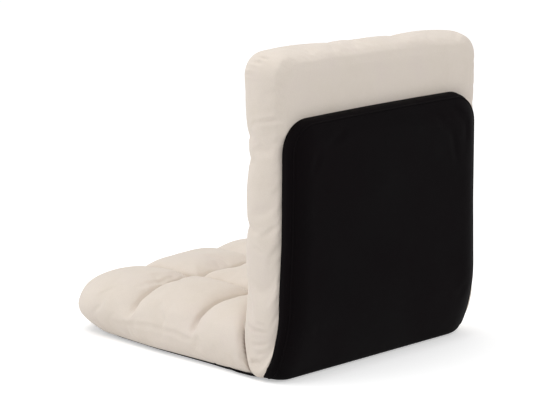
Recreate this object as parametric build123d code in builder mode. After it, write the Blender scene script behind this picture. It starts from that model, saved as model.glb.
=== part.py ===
"""Folding floor chair: a tufted seat and back on two tube frames, joined by two ratchet hinges.

Origin on the floor, under the middle of the chair. +Z up, the seat's front towards -Y, widths along X.
"left" is the sitter's left, at +X. Millimetres.
"""
from build123d import *
import os
from math import cos, degrees, radians, sin, sqrt

os.makedirs("parts", exist_ok=True)

# ---------- overall ----------
chair_width = 520
chair_depth = 576  # seat front to the panel's outer face
back_height = 560
tray_depth = 31  # how far the black panel and base stand out from the pads
seat_height = 104  # crown of the seat pad
fit_gap = 0.3

# ---------- black covers ----------
cover_cloth = 1.6
tray_width = 496
tray_edge_round = 9
base_front_setback = 26
base_front_corner = 96
base_rear_setback = 69  # panel's outer face to the end of the base
base_rear_corner = 24
panel_top = 450
panel_bottom = 140
panel_top_corner = 55
heel_mid_setback = 25
heel_mid_height = 60
piping_radius = 2
# the heel's edge beside the back pad: distance forward from the pad's rear face, height
heel_edge = ((37, 14), (25, 29), (4, 64), (-0.6, 96))

# ---------- tube frames ----------
tube_radius = 11
tube_wall = 1.2
tube_spacing = 402  # centre to centre
tube_bend = 62
seat_tube_front_setback = 58
back_tube_top = 420
crossbar_radius = 8
crossbar_wall = 1.0
seat_crossbar_setbacks = (176, 330)  # forward from the hinge axis
back_crossbar_heights = (235, 330)
weld_gap = 0.1
sheet_thickness = 1.5
sheet_overhang = 6  # past the tube's centre line
sheet_end_gap = 4  # to the plates and arms

# ---------- ratchet hinges ----------
hinge_setback = 61  # hinge axis to the floor, and to the panel's outer face
plate_thickness = 2.5
plate_head_radius = 20
plate_tail_radius = 10.5
plate_tail_near = 74
plate_tail_far = 128
seat_tube_end = 60
back_tube_end = 62
gear_thickness = 4
gear_hub_radius = 14
gear_root_radius = 16.5
tooth_sink = 1  # how far a tooth starts inside the root circle
gear_outer_radius = 21
gear_pitch = 15
gear_steps = 6  # locked positions past the upright one
tooth_root_half = 4.2
tooth_tip_half = 2.0
pivot_radius = 5
pivot_head_radius = 10
running_gap = 0.06
rivet_radius = 3
rivet_head_radius = 6.5
rivet_head_height = 2.4
rivet_head_taper = 40
rivet_hole_gap = 0.1
rivet_end_inset = 6
side_gap = 0.15
washer_radius = 11
arm_tail_near = 76
arm_tail_far = 124

# ---------- pawls ----------
pawl_angle = 255  # where the pawl meets the gear, seen from +X
pawl_ride = 9  # degrees that the pawl, as drawn, is turned clear of the teeth
pawl_reach = 33
pawl_pin_radius = 3.5
pawl_boss_radius = 6
pawl_tip_radius = 4
pawl_tip_offset = 26
pawl_tooth_tip = 17.0
pawl_tooth_tip_half = 0.7
pawl_tooth_root_half = 1.6
pawl_plate_radius = 10
pawl_clear = 0.7
pawl_tooth_sink = 1.5
pawl_lift_room = 8
pawl_washer_radius = 6.5
spring_thickness = 0.8
spring_width = 7
spring_tip_reach = 1  # past the middle of the pawl's tip
spring_tip_flat = 4  # before the pawl's tip
spring_post_radius = 3
spring_post_reach = 50
spring_post_drop = 33

# ---------- pads ----------
seat_front_corner = 90
seat_rear_corner = 30
back_bottom_corner = 34
back_top_corner = 36
pad_draw_in = 5
gusset_thickness = 1.2
# height, side inset, front inset, setback of the rear edge from the back pad's rear face
seat_levels = (
    (5, 13, 22, 64),
    (18, 5, 8, 70),
    (42, 0, 0, 83),
    (66, 4, 4, 95),
    (84, 17, 19, 104),
    (95, 42, 44, 124),
    (seat_height, 92, 96, 166),
)
# distance forward from the rear face, side inset, top inset, bottom height
back_levels = (
    (fit_gap, 27, 17, 100),
    (8, 13, 8, 66),
    (30, 3, 2, 30),
    (52, 0, 0, 8),
    (68, 2, 2, 22),
    (82, 8, 7, 50),
    (92, 22, 19, 78),
    (99, 48, 42, 112),
    (103, 96, 92, 172),
)
# where the two pads meet: distance forward from the back pad's rear face, height
crease_line = ((77.5, 33), (85.5, 48), (93.8, 66))
tuft_columns = (-88, 88)
seat_tuft_rows = (124, 279)  # forward from the crease, at mid height
back_tuft_rows = (262, 418)
crease_depth = 11
crease_half_width = 26
crease_lip = 13  # height at which the valley meets the swells
crease_shoulder = (9.1, 9.1)  # out from the valley's middle, and up
tuft_depth = 22
tuft_half_width = 30
tuft_shoulder = (12, 15)
tuft_seat_radius = 3.4
tie_radius = 1.0
tie_knot_radius = 2.6
tie_knot_height = 1.2

# ---------- foam ----------
foam_thickness = 28
foam_side_inset = 56
foam_crease_setback = 112
foam_under_panel_top = 14
foam_end_inset = 52
foam_corner = 40
foam_groove_gap = 0.4
hinge_pocket_gap = 4

# ---------- derived places ----------
front_y = -chair_depth / 2
face_y = chair_depth / 2
rear_y = face_y - tray_depth  # the back pad's rear face
hinge_y = face_y - hinge_setback
hinge_z = hinge_setback
tube_inset = tray_depth - sheet_thickness - fit_gap - tube_radius
tube_x = tube_spacing / 2
tube_drop = hinge_setback - tube_inset  # hinge axis to either tube's centre line
seat_tube_z = tube_inset
back_tube_y = face_y - tube_inset
base_front_y = front_y + base_front_setback
base_rear_y = face_y - base_rear_setback
plate_offset = tube_radius + fit_gap / 2
rivet_span = plate_offset + plate_thickness
washer_thickness = plate_offset - gear_thickness / 2 - side_gap
pawl_x, pawl_z = (
    pawl_tooth_tip * cos(radians(pawl_angle)) + pawl_reach * cos(radians(pawl_angle - 90)),
    pawl_tooth_tip * sin(radians(pawl_angle)) + pawl_reach * sin(radians(pawl_angle - 90)),
)
pawl_pin = (hinge_y + pawl_x, hinge_z + pawl_z)
crease_y = rear_y - crease_line[1][0]
sides = (("left", 1), ("right", -1))


def save(builder, name):
    """Label a finished piece and write it."""
    builder.part.label = name
    export_step(builder.part, f"parts/{name}.step")


def around_hinge(radius, angle):
    """Point in the side view, (Y, Z), at a radius and angle about the hinge axis."""
    return (hinge_y + radius * cos(radians(angle)), hinge_z + radius * sin(radians(angle)))


def ridden(point):
    """Point of the locked pawl, (Y, Z), turned about its pin until it rides clear of the teeth."""
    y, z = point[0] - pawl_pin[0], point[1] - pawl_pin[1]
    c, s = cos(radians(pawl_ride)), sin(radians(pawl_ride))
    return (pawl_pin[0] + y * c + z * s, pawl_pin[1] - y * s + z * c)


def seat_tail(reach):
    """Point on the seat tube's centre line, this far forward of the hinge axis."""
    return (hinge_y - reach, seat_tube_z)


def back_tail(reach):
    """Point on the back tube's centre line, this far above the hinge axis."""
    return (back_tube_y, hinge_z + reach)


def side_slab(middle, thickness):
    """Side-view plane on the near face of a slab that is centred on x = middle."""
    return Plane.YZ.offset(middle - thickness / 2)


# ---------- outlines shared by several pieces ----------
def pad_outline(half_width, low, high, low_corner, high_corner, draw_in):
    """Closed outline of a pad: sides drawn in between round corners."""
    low_cut = low_corner * (1 - sqrt(0.5))
    high_cut = high_corner * (1 - sqrt(0.5))
    middle = (low + high) / 2
    w = half_width
    with BuildLine() as edge:
        ThreePointArc((low_corner - w, low), (0, low + draw_in), (w - low_corner, low))
        ThreePointArc((w - low_corner, low), (w - low_cut, low + low_cut), (w, low + low_corner))
        ThreePointArc((w, low + low_corner), (w - draw_in, middle), (w, high - high_corner))
        ThreePointArc((w, high - high_corner), (w - high_cut, high - high_cut), (w - high_corner, high))
        ThreePointArc((w - high_corner, high), (0, high - draw_in), (high_corner - w, high))
        ThreePointArc((high_corner - w, high), (high_cut - w, high - high_cut), (-w, high - high_corner))
        ThreePointArc((-w, high - high_corner), (draw_in - w, middle), (-w, low + low_corner))
        ThreePointArc((-w, low + low_corner), (low_cut - w, low + low_cut), (low_corner - w, low))
    make_face(edge.edges())


def block_outline(half_width, low, high, low_corner, high_corner):
    """Closed rectangle with its two low and its two high corners rounded."""
    with Locations((0, (low + high) / 2)):
        Rectangle(2 * half_width, high - low)
    fillet(vertices().group_by(Axis.Y)[0], low_corner)
    fillet(vertices().group_by(Axis.Y)[-1], high_corner)


def base_outline(inset):
    """Plan of the base, seen from above."""
    block_outline(
        tray_width / 2 - inset,
        base_front_y + inset,
        base_rear_y - inset,
        base_front_corner - inset,
        base_rear_corner - inset,
    )


def panel_outline(inset, bottom):
    """Panel on the back, seen from the front: round at the top, square at the bottom."""
    top = panel_top - inset
    with Locations((0, (bottom + top) / 2)):
        Rectangle(tray_width - 2 * inset, top - bottom)
    fillet(vertices().group_by(Axis.Y)[-1], panel_top_corner - inset)


def plate_outline(grow):
    """Side view of a hinge's seat plates: head, pawl boss and tail in one hull."""
    with Locations((hinge_y, hinge_z)):
        Circle(plate_head_radius + grow)
    with Locations(pawl_pin):
        Circle(pawl_plate_radius + grow)
    with Locations(seat_tail(plate_tail_near), seat_tail(plate_tail_far)):
        Circle(plate_tail_radius + grow)
    make_hull()


def hinge_pocket_outline():
    """Room for a hinge in the pads: round its plates, and round all that its pawl reaches."""
    plate_outline(hinge_pocket_gap)
    with Locations((hinge_y, hinge_z)):
        Circle(pawl_tip_offset + pawl_tip_radius + pawl_lift_room)


def arm_outline(grow):
    """Side view of the back's arm, from the hinge axis up to the tube."""
    with Locations((hinge_y, hinge_z)):
        Circle(gear_hub_radius + grow)
    with Locations(back_tail(arm_tail_near), back_tail(arm_tail_far)):
        Circle(plate_tail_radius + grow)
    make_hull()


def seat_tube_path():
    """Centre line of the seat tube: from hinge to hinge round the front."""
    front = front_y + seat_tube_front_setback
    end = hinge_y - seat_tube_end
    return FilletPolyline(
        (tube_x, end, seat_tube_z),
        (tube_x, front, seat_tube_z),
        (-tube_x, front, seat_tube_z),
        (-tube_x, end, seat_tube_z),
        radius=tube_bend,
    )


def back_tube_path():
    """Centre line of the back tube: from hinge to hinge over the top."""
    end = hinge_z + back_tube_end
    return FilletPolyline(
        (tube_x, back_tube_y, end),
        (tube_x, back_tube_y, back_tube_top),
        (-tube_x, back_tube_y, back_tube_top),
        (-tube_x, back_tube_y, end),
        radius=tube_bend,
    )


# ---------- frames ----------
tail_rivets = (plate_tail_near + rivet_end_inset, plate_tail_far - rivet_end_inset)
arm_rivets = (arm_tail_near + rivet_end_inset, arm_tail_far - rivet_end_inset)


def frame_tube(path_of, start_plane, rivet_points, slot):
    """Bent tube with rivet holes through its two ends, and a slot in each end if asked."""
    with BuildPart() as tube:
        with BuildLine():
            path = path_of()
        with BuildSketch(start_plane):
            Circle(tube_radius)
            Circle(tube_radius - tube_wall, mode=Mode.SUBTRACT)
        sweep(path=path)
        for name, sign in sides:
            with BuildSketch(Plane.YZ.offset(sign * tube_x - 2 * tube_radius)):
                with Locations(*rivet_points):
                    Circle(rivet_radius + rivet_hole_gap)
            extrude(amount=4 * tube_radius, mode=Mode.SUBTRACT)
            if slot:
                with BuildSketch(side_slab(sign * tube_x, gear_thickness + 2 * side_gap)):
                    arm_outline(fit_gap)
                extrude(amount=gear_thickness + 2 * side_gap, mode=Mode.SUBTRACT)
    return tube


seat_frame = frame_tube(
    seat_tube_path,
    Plane(origin=(tube_x, hinge_y - seat_tube_end, seat_tube_z), z_dir=(0, -1, 0)),
    [seat_tail(reach) for reach in tail_rivets],
    False,
)
save(seat_frame, "seat_frame")

back_frame = frame_tube(
    back_tube_path,
    Plane(origin=(tube_x, back_tube_y, hinge_z + back_tube_end), z_dir=(0, 0, 1)),
    [back_tail(reach) for reach in arm_rivets],
    True,
)
save(back_frame, "back_frame")


def crossbar(y, z, along):
    """Straight tube between the side tubes, its ends cut to sit round them."""
    with BuildPart() as bar:
        with BuildSketch(Plane(origin=(-tube_x, y, z), z_dir=(1, 0, 0))):
            Circle(crossbar_radius)
            Circle(crossbar_radius - crossbar_wall, mode=Mode.SUBTRACT)
        extrude(amount=tube_spacing)
        for name, sign in sides:
            start = (sign * tube_x, y - along[1] * tube_spacing, z - along[2] * tube_spacing)
            with BuildSketch(Plane(origin=start, z_dir=along)):
                Circle(tube_radius + weld_gap)
            extrude(amount=2 * tube_spacing, mode=Mode.SUBTRACT)
    return bar


crossbar_places = (
    ("seat_rear_crossbar", hinge_y - seat_crossbar_setbacks[0], seat_tube_z, (0, 1, 0)),
    ("seat_middle_crossbar", hinge_y - seat_crossbar_setbacks[1], seat_tube_z, (0, 1, 0)),
    ("back_lower_crossbar", back_tube_y, back_crossbar_heights[0], (0, 0, 1)),
    ("back_upper_crossbar", back_tube_y, back_crossbar_heights[1], (0, 0, 1)),
)
for name, y, z, along in crossbar_places:
    save(crossbar(y, z, along), name)

# ---------- support sheets over the frames ----------
sheet_half = tube_x + sheet_overhang
back_sheet_bottom = hinge_z + arm_tail_far + plate_tail_radius + sheet_end_gap
seat_sheet_rear = hinge_y - plate_tail_far - plate_tail_radius - sheet_end_gap
with BuildPart() as seat_support_sheet:
    with BuildSketch(Plane.XY.offset(tray_depth - sheet_thickness)):
        block_outline(
            sheet_half,
            front_y + seat_tube_front_setback - sheet_overhang,
            seat_sheet_rear,
            tube_bend,
            sheet_overhang,
        )
    extrude(amount=sheet_thickness)
save(seat_support_sheet, "seat_support_sheet")

with BuildPart() as back_support_sheet:
    with BuildSketch(Plane.XZ.offset(-rear_y - sheet_thickness)):
        block_outline(
            sheet_half,
            back_sheet_bottom,
            back_tube_top + sheet_overhang,
            sheet_overhang,
            tube_bend,
        )
    extrude(amount=sheet_thickness)
save(back_support_sheet, "back_support_sheet")

# ---------- ratchet hinges ----------
gear_first_tooth = pawl_angle - gear_pitch / 2
pawl_pin_hole = pawl_pin_radius + running_gap
pawl_tooth_root = gear_outer_radius + pawl_clear + pawl_tooth_sink
tip_side = degrees(pawl_tooth_tip_half / pawl_tooth_tip)
root_side = degrees(pawl_tooth_root_half / pawl_tooth_root)
spring_post = (hinge_y - spring_post_reach, hinge_z - spring_post_drop)


def rivets(middles, points, radius, span, head_radius):
    """Round shanks along X at side-view points of each hinge, with a tapered head at each end."""
    with BuildPart() as group:
        for middle in middles:
            with BuildSketch(Plane.YZ.offset(middle - span)):
                with Locations(*points):
                    Circle(radius)
            extrude(amount=2 * span)
            for end, height in ((span, rivet_head_height), (-span, -rivet_head_height)):
                with BuildSketch(Plane.YZ.offset(middle + end)):
                    with Locations(*points):
                        Circle(head_radius)
                extrude(amount=height, taper=rivet_head_taper)
    return group


for name, sign in sides:
    middle = sign * tube_x

    for place, offset in (("outer", plate_offset), ("inner", -plate_offset - plate_thickness)):
        with BuildPart() as plate:
            start = middle + (offset if sign > 0 else -offset - plate_thickness)
            with BuildSketch(Plane.YZ.offset(start)):
                plate_outline(0)
                with Locations((hinge_y, hinge_z)):
                    Circle(pivot_radius + rivet_hole_gap, mode=Mode.SUBTRACT)
                with Locations(pawl_pin):
                    Circle(pawl_pin_radius + rivet_hole_gap, mode=Mode.SUBTRACT)
                with Locations(spring_post):
                    Circle(spring_post_radius + rivet_hole_gap, mode=Mode.SUBTRACT)
                with Locations(*[seat_tail(reach) for reach in tail_rivets]):
                    Circle(rivet_radius + rivet_hole_gap, mode=Mode.SUBTRACT)
            extrude(amount=plate_thickness)
        save(plate, f"{name}_hinge_{place}_plate")

    with BuildPart() as gear:
        with BuildSketch(side_slab(middle, gear_thickness)):
            arm_outline(0)
            with Locations((hinge_y, hinge_z)):
                Circle(gear_root_radius)
            for tooth in range(gear_steps + 1):
                angle = gear_first_tooth + tooth * gear_pitch
                with BuildLine():
                    Polyline(
                        around_hinge(gear_root_radius - tooth_sink, angle - tooth_root_half),
                        around_hinge(gear_root_radius, angle - tooth_root_half),
                        around_hinge(gear_outer_radius, angle - tooth_tip_half),
                        around_hinge(gear_outer_radius, angle + tooth_tip_half),
                        around_hinge(gear_root_radius, angle + tooth_root_half),
                        around_hinge(gear_root_radius - tooth_sink, angle + tooth_root_half),
                        close=True,
                    )
                make_face()
            with Locations((hinge_y, hinge_z)):
                Circle(pivot_radius + running_gap, mode=Mode.SUBTRACT)
            with Locations(*[back_tail(reach) for reach in arm_rivets]):
                Circle(rivet_radius + rivet_hole_gap, mode=Mode.SUBTRACT)
        extrude(amount=gear_thickness)
    save(gear, f"{name}_gear_arm")

    pivot = rivets([middle], [(hinge_y, hinge_z)], pivot_radius, rivet_span, pivot_head_radius)
    save(pivot, f"{name}_pivot_rivet")
    pin = rivets([middle], [pawl_pin], pawl_pin_radius, rivet_span, rivet_head_radius)
    save(pin, f"{name}_pawl_pin")

    with BuildPart() as washers:
        for offset in (-gear_thickness / 2 - side_gap - washer_thickness, gear_thickness / 2 + side_gap):
            with BuildSketch(Plane.YZ.offset(middle + offset)):
                with Locations((hinge_y, hinge_z)):
                    Circle(washer_radius)
                    Circle(pivot_radius + rivet_hole_gap, mode=Mode.SUBTRACT)
                with Locations(pawl_pin):
                    Circle(pawl_washer_radius)
                    Circle(pawl_pin_radius + rivet_hole_gap, mode=Mode.SUBTRACT)
            extrude(amount=washer_thickness)
    save(washers, f"{name}_hinge_washers")

    with BuildPart() as pawl:
        with BuildSketch(side_slab(middle, gear_thickness)):
            with Locations(pawl_pin):
                Circle(pawl_boss_radius)
            with Locations(ridden(around_hinge(pawl_tip_offset, pawl_angle))):
                Circle(pawl_tip_radius)
            make_hull()
            with Locations(ridden((hinge_y, hinge_z))):
                Circle(gear_outer_radius + pawl_clear, mode=Mode.SUBTRACT)
            with BuildLine():
                Polyline(
                    ridden(around_hinge(pawl_tooth_tip, pawl_angle - tip_side)),
                    ridden(around_hinge(pawl_tooth_tip, pawl_angle + tip_side)),
                    ridden(around_hinge(pawl_tooth_root, pawl_angle + root_side)),
                    ridden(around_hinge(pawl_tooth_root, pawl_angle - root_side)),
                    close=True,
                )
            make_face()
            with Locations(pawl_pin):
                Circle(pawl_pin_hole, mode=Mode.SUBTRACT)
        extrude(amount=gear_thickness)
    save(pawl, f"{name}_pawl")

    # leaf spring: hooked over its post, its tip under the pawl's tip
    tip_y, tip_z = ridden(around_hinge(pawl_tip_offset, pawl_angle))
    tip_z -= pawl_tip_radius + fit_gap + spring_thickness / 2
    flat_y = tip_y - pawl_tip_radius - spring_tip_flat
    hook = spring_post_radius + fit_gap + spring_thickness / 2
    with BuildPart() as spring:
        with BuildSketch(side_slab(middle, spring_width)):
            with BuildLine() as leaf:
                ThreePointArc(
                    (spring_post[0] - hook, spring_post[1]),
                    (spring_post[0] - hook * sqrt(0.5), spring_post[1] + hook * sqrt(0.5)),
                    (spring_post[0], spring_post[1] + hook),
                )
                Line((spring_post[0], spring_post[1] + hook), (flat_y, tip_z))
                Line((flat_y, tip_z), (tip_y + spring_tip_reach, tip_z))
            trace(line_width=spring_thickness)
        extrude(amount=spring_width)
    save(spring, f"{name}_pawl_spring")

    with BuildPart() as post:
        with BuildSketch(side_slab(middle, 2 * rivet_span)):
            with Locations(spring_post):
                Circle(spring_post_radius)
        extrude(amount=2 * rivet_span)
    save(post, f"{name}_spring_post")

tube_middles = (tube_x, -tube_x)
tail_points = [seat_tail(reach) for reach in tail_rivets]
save(rivets(tube_middles, tail_points, rivet_radius, rivet_span, rivet_head_radius), "seat_frame_rivets")
arm_points = [back_tail(reach) for reach in arm_rivets]
save(rivets(tube_middles, arm_points, rivet_radius, tube_radius, rivet_head_radius), "back_frame_rivets")

# ---------- black covers ----------
lining_round = tray_edge_round - cover_cloth
hinge_room = rivet_span + rivet_head_height + foam_groove_gap
with BuildPart() as base_room:
    with BuildSketch(Plane.XY.offset(cover_cloth)):
        base_outline(cover_cloth)
    extrude(amount=tray_depth)
    fillet(base_room.faces().sort_by(Axis.Z)[0].edges(), lining_round)
    with BuildSketch(Plane.XY.offset(cover_cloth)):
        with Locations((0, base_rear_y)):
            Rectangle(2 * (tube_x + hinge_room), 2 * base_rear_corner)
    extrude(amount=tray_depth)

with BuildPart() as seat_base_cover:
    with BuildSketch(Plane.XY):
        base_outline(0)
    extrude(amount=tray_depth)
    rim = seat_base_cover.faces().sort_by(Axis.Z)[0].edges().sort_by(Axis.Y)
    fillet(rim[:-1], tray_edge_round)
    add(base_room.part, mode=Mode.SUBTRACT)
save(seat_base_cover, "seat_base_cover")

with BuildPart() as panel_room:
    with BuildSketch(Plane.XZ.offset(cover_cloth - face_y)):
        panel_outline(cover_cloth, panel_bottom - tray_edge_round)
    extrude(amount=tray_depth)
    fillet(panel_room.faces().sort_by(Axis.Y)[-1].edges().sort_by(Axis.Z)[1:], lining_round)

with BuildPart() as back_panel_cover:
    with BuildSketch(Plane.XZ.offset(-face_y)):
        panel_outline(0, panel_bottom)
    extrude(amount=tray_depth)
    fillet(back_panel_cover.faces().sort_by(Axis.Y)[-1].edges().sort_by(Axis.Z)[1:], tray_edge_round)
    add(panel_room.part, mode=Mode.SUBTRACT)
save(back_panel_cover, "back_panel_cover")

piping_y = face_y - tray_edge_round - piping_radius
piping_x = tray_width / 2 + piping_radius + fit_gap / 2
piping_top = panel_top + piping_radius + fit_gap / 2
with BuildPart() as back_panel_piping:
    with BuildLine() as piping_path:
        FilletPolyline(
            (piping_x, piping_y, panel_bottom),
            (piping_x, piping_y, piping_top),
            (-piping_x, piping_y, piping_top),
            (-piping_x, piping_y, panel_bottom),
            radius=panel_top_corner + piping_radius,
        )
    with BuildSketch(Plane(origin=(piping_x, piping_y, panel_bottom), z_dir=(0, 0, 1))):
        Circle(piping_radius)
    sweep(path=piping_path.line)
save(back_panel_piping, "back_panel_piping")

# heel: the black cloth that turns from the panel down to the floor, over the hinges
heel_top = panel_bottom - fit_gap
heel_front = base_rear_y + fit_gap
heel_mid = (face_y - heel_mid_setback, heel_mid_height)
with BuildPart() as heel_room:
    with BuildSketch(Plane.YZ.offset(cover_cloth - tray_width / 2)):
        with BuildLine():
            ThreePointArc(
                (face_y - cover_cloth, heel_top),
                (heel_mid[0] - cover_cloth * sqrt(0.5), heel_mid[1] + cover_cloth * sqrt(0.5)),
                (heel_front, cover_cloth),
            )
            Polyline(
                (heel_front, cover_cloth),
                (base_rear_y - tray_depth, cover_cloth),
                (base_rear_y - tray_depth, heel_top + cover_cloth),
                (face_y - cover_cloth, heel_top + cover_cloth),
                (face_y - cover_cloth, heel_top),
            )
        make_face()
    extrude(amount=tray_width - 2 * cover_cloth)

with BuildPart() as heel_cover:
    with BuildSketch(Plane.YZ.offset(-tray_width / 2)):
        with BuildLine():
            ThreePointArc((face_y, heel_top), heel_mid, (heel_front, 0))
            Polyline(
                (heel_front, 0),
                (heel_front, heel_edge[0][1]),
                *[(rear_y - setback, height) for setback, height in heel_edge],
                (rear_y - heel_edge[-1][0], heel_top),
                (face_y, heel_top),
            )
        make_face()
    extrude(amount=tray_width)
    add(heel_room.part, mode=Mode.SUBTRACT)
save(heel_cover, "heel_cover")

# ---------- foam round the frames ----------
foam_inset = cover_cloth + fit_gap
foam_round = tray_edge_round - foam_inset
groove_radius = tube_radius + foam_groove_gap


def groove(path_of, start_plane):
    """The room that a frame tube takes in the foam."""
    with BuildPart() as room:
        with BuildLine():
            path = path_of()
        with BuildSketch(start_plane):
            Circle(groove_radius)
        sweep(path=path)
    return room


seat_groove = groove(
    seat_tube_path,
    Plane(origin=(tube_x, hinge_y - seat_tube_end, seat_tube_z), z_dir=(0, -1, 0)),
)
back_groove = groove(
    back_tube_path,
    Plane(origin=(tube_x, back_tube_y, hinge_z + back_tube_end), z_dir=(0, 0, 1)),
)

with BuildPart() as seat_base_foam:
    with BuildSketch(Plane.XY.offset(foam_inset)):
        base_outline(foam_inset)
    extrude(amount=tray_depth - sheet_thickness - fit_gap - foam_inset)
    fillet(seat_base_foam.faces().sort_by(Axis.Z)[0].edges(), foam_round)
    add(seat_groove.part, mode=Mode.SUBTRACT)
    for setback in seat_crossbar_setbacks:
        with BuildSketch(Plane.YZ.offset(-tube_x)):
            with Locations((hinge_y - setback, seat_tube_z)):
                Circle(crossbar_radius + foam_groove_gap)
        extrude(amount=tube_spacing, mode=Mode.SUBTRACT)
    for name, sign in sides:
        with BuildSketch(Plane.XY):
            with Locations((sign * tube_x, base_rear_y)):
                Rectangle(2 * hinge_room, 2 * (base_rear_y - seat_sheet_rear))
        extrude(amount=tray_depth, mode=Mode.SUBTRACT)
save(seat_base_foam, "seat_base_foam")

with BuildPart() as back_panel_foam:
    with BuildSketch(Plane.XZ.offset(foam_inset - face_y)):
        panel_outline(foam_inset, panel_bottom + fit_gap)
    extrude(amount=tray_depth - sheet_thickness - fit_gap - foam_inset)
    fillet(back_panel_foam.faces().sort_by(Axis.Y)[-1].edges().sort_by(Axis.Z)[1:], foam_round)
    add(back_groove.part, mode=Mode.SUBTRACT)
    for height in back_crossbar_heights:
        with BuildSketch(Plane.YZ.offset(-tube_x)):
            with Locations((back_tube_y, height)):
                Circle(crossbar_radius + foam_groove_gap)
        extrude(amount=tube_spacing, mode=Mode.SUBTRACT)
    for name, sign in sides:
        with BuildSketch(Plane.XZ.offset(-face_y)):
            with Locations((sign * tube_x, panel_bottom)):
                Rectangle(2 * hinge_room, 2 * (back_sheet_bottom - panel_bottom))
        extrude(amount=2 * tray_depth, mode=Mode.SUBTRACT)
save(back_panel_foam, "back_panel_foam")

# ---------- foam slabs in the pads ----------
foam_half = chair_width / 2 - foam_side_inset
seat_foam_rear = rear_y - foam_crease_setback
back_foam_top = panel_top - foam_under_panel_top
tuft_hole = tie_radius + fit_gap
seat_tufts = [(x, crease_y - row) for x in tuft_columns for row in seat_tuft_rows]
back_tufts = [(x, row) for x in tuft_columns for row in back_tuft_rows]


def hinge_rooms(outlines):
    """Room that both hinges take in a pad or its foam."""
    with BuildPart() as rooms:
        for name, sign in sides:
            for outline in outlines:
                with BuildSketch(side_slab(sign * tube_x, 2 * hinge_room)):
                    outline()
                extrude(amount=2 * hinge_room)
    return rooms


def arm_pocket_outline():
    """Room for the back's arm in the pad ahead of it."""
    arm_outline(hinge_pocket_gap)


seat_hinge_rooms = hinge_rooms([hinge_pocket_outline])
back_hinge_rooms = hinge_rooms([hinge_pocket_outline, arm_pocket_outline])

with BuildPart() as seat_foam:
    with BuildSketch(Plane.XY.offset(tray_depth + fit_gap)):
        block_outline(foam_half, front_y + foam_end_inset, seat_foam_rear, foam_corner, foam_corner / 2)
        with Locations(*seat_tufts):
            Circle(tuft_hole, mode=Mode.SUBTRACT)
    extrude(amount=foam_thickness)
    add(seat_hinge_rooms.part, mode=Mode.SUBTRACT)
save(seat_foam, "seat_foam")

with BuildPart() as back_foam:
    with BuildSketch(Plane.XZ.offset(fit_gap - rear_y)):
        block_outline(foam_half, foam_crease_setback, back_foam_top, foam_corner / 2, foam_corner)
        with Locations(*back_tufts):
            Circle(tuft_hole, mode=Mode.SUBTRACT)
    extrude(amount=foam_thickness)
    add(back_hinge_rooms.part, mode=Mode.SUBTRACT)
save(back_foam, "back_foam")

# ---------- tufted pads ----------
seat_floor = tray_depth + fit_gap
back_depth = back_levels[-1][0]


def crease(start, end, outward):
    """Room that a sewn crease takes: a straight valley between two rounded swells."""
    heading = Vector(*end) - Vector(*start)
    half = crease_half_width
    lip = crease_lip
    out, rise = crease_shoulder
    with BuildPart() as valley:
        with BuildSketch(Plane(origin=start, x_dir=Vector(*outward).cross(heading), z_dir=heading)):
            with BuildLine():
                ThreePointArc((-half, lip), (-out, rise), (0, 0))
                ThreePointArc((0, 0), (out, rise), (half, lip))
                Polyline((half, lip), (half, 3 * lip), (-half, 3 * lip), (-half, lip))
            make_face()
        extrude(amount=heading.length)
    return valley


def through(bottom, outward):
    """Plane through a tuft, its own Y axis pointing outward."""
    return Plane(origin=bottom, x_dir=(1, 0, 0), z_dir=Vector(1, 0, 0).cross(Vector(*outward)))


def tuft_pit(bottom, outward):
    """Room over a pulled-in tuft: a funnel that flares out to the swells."""
    flare = tuft_half_width
    with BuildPart() as pit:
        with BuildSketch(through(bottom, outward)):
            with BuildLine():
                Line((0, 0), (tuft_seat_radius, 0))
                ThreePointArc((tuft_seat_radius, 0), tuft_shoulder, (flare, tuft_depth))
                Polyline((flare, tuft_depth), (flare, 2 * tuft_depth), (0, 2 * tuft_depth), (0, 0))
            make_face()
        revolve(axis=Axis(bottom, outward))
    return pit


def ties(bottoms, outward, length):
    """Threads from the frame side of the foam up to a knot at each tuft's bottom."""
    with BuildPart() as group:
        for bottom in bottoms:
            with BuildSketch(through(bottom, outward)):
                with BuildLine():
                    Polyline(
                        (0, -length),
                        (tie_radius, -length),
                        (tie_radius, fit_gap),
                        (tie_knot_radius, fit_gap),
                        (tie_knot_radius, fit_gap + tie_knot_height),
                        (0, fit_gap + tie_knot_height),
                        close=True,
                    )
                make_face()
            revolve(axis=Axis(bottom, outward))
    return group


up = (0, 0, 1)
ahead = (0, -1, 0)
seat_crease_z = seat_height - crease_depth
half_width = chair_width / 2
seat_cuts = [crease((x, front_y, seat_crease_z), (x, rear_y, seat_crease_z), up) for x in tuft_columns]
seat_cuts += [
    crease((half_width, crease_y - row, seat_crease_z), (-half_width, crease_y - row, seat_crease_z), up)
    for row in seat_tuft_rows
]
seat_tuft_bottoms = [(x, y, seat_height - tuft_depth) for x, y in seat_tufts]
seat_cuts += [tuft_pit(bottom, up) for bottom in seat_tuft_bottoms]

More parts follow.
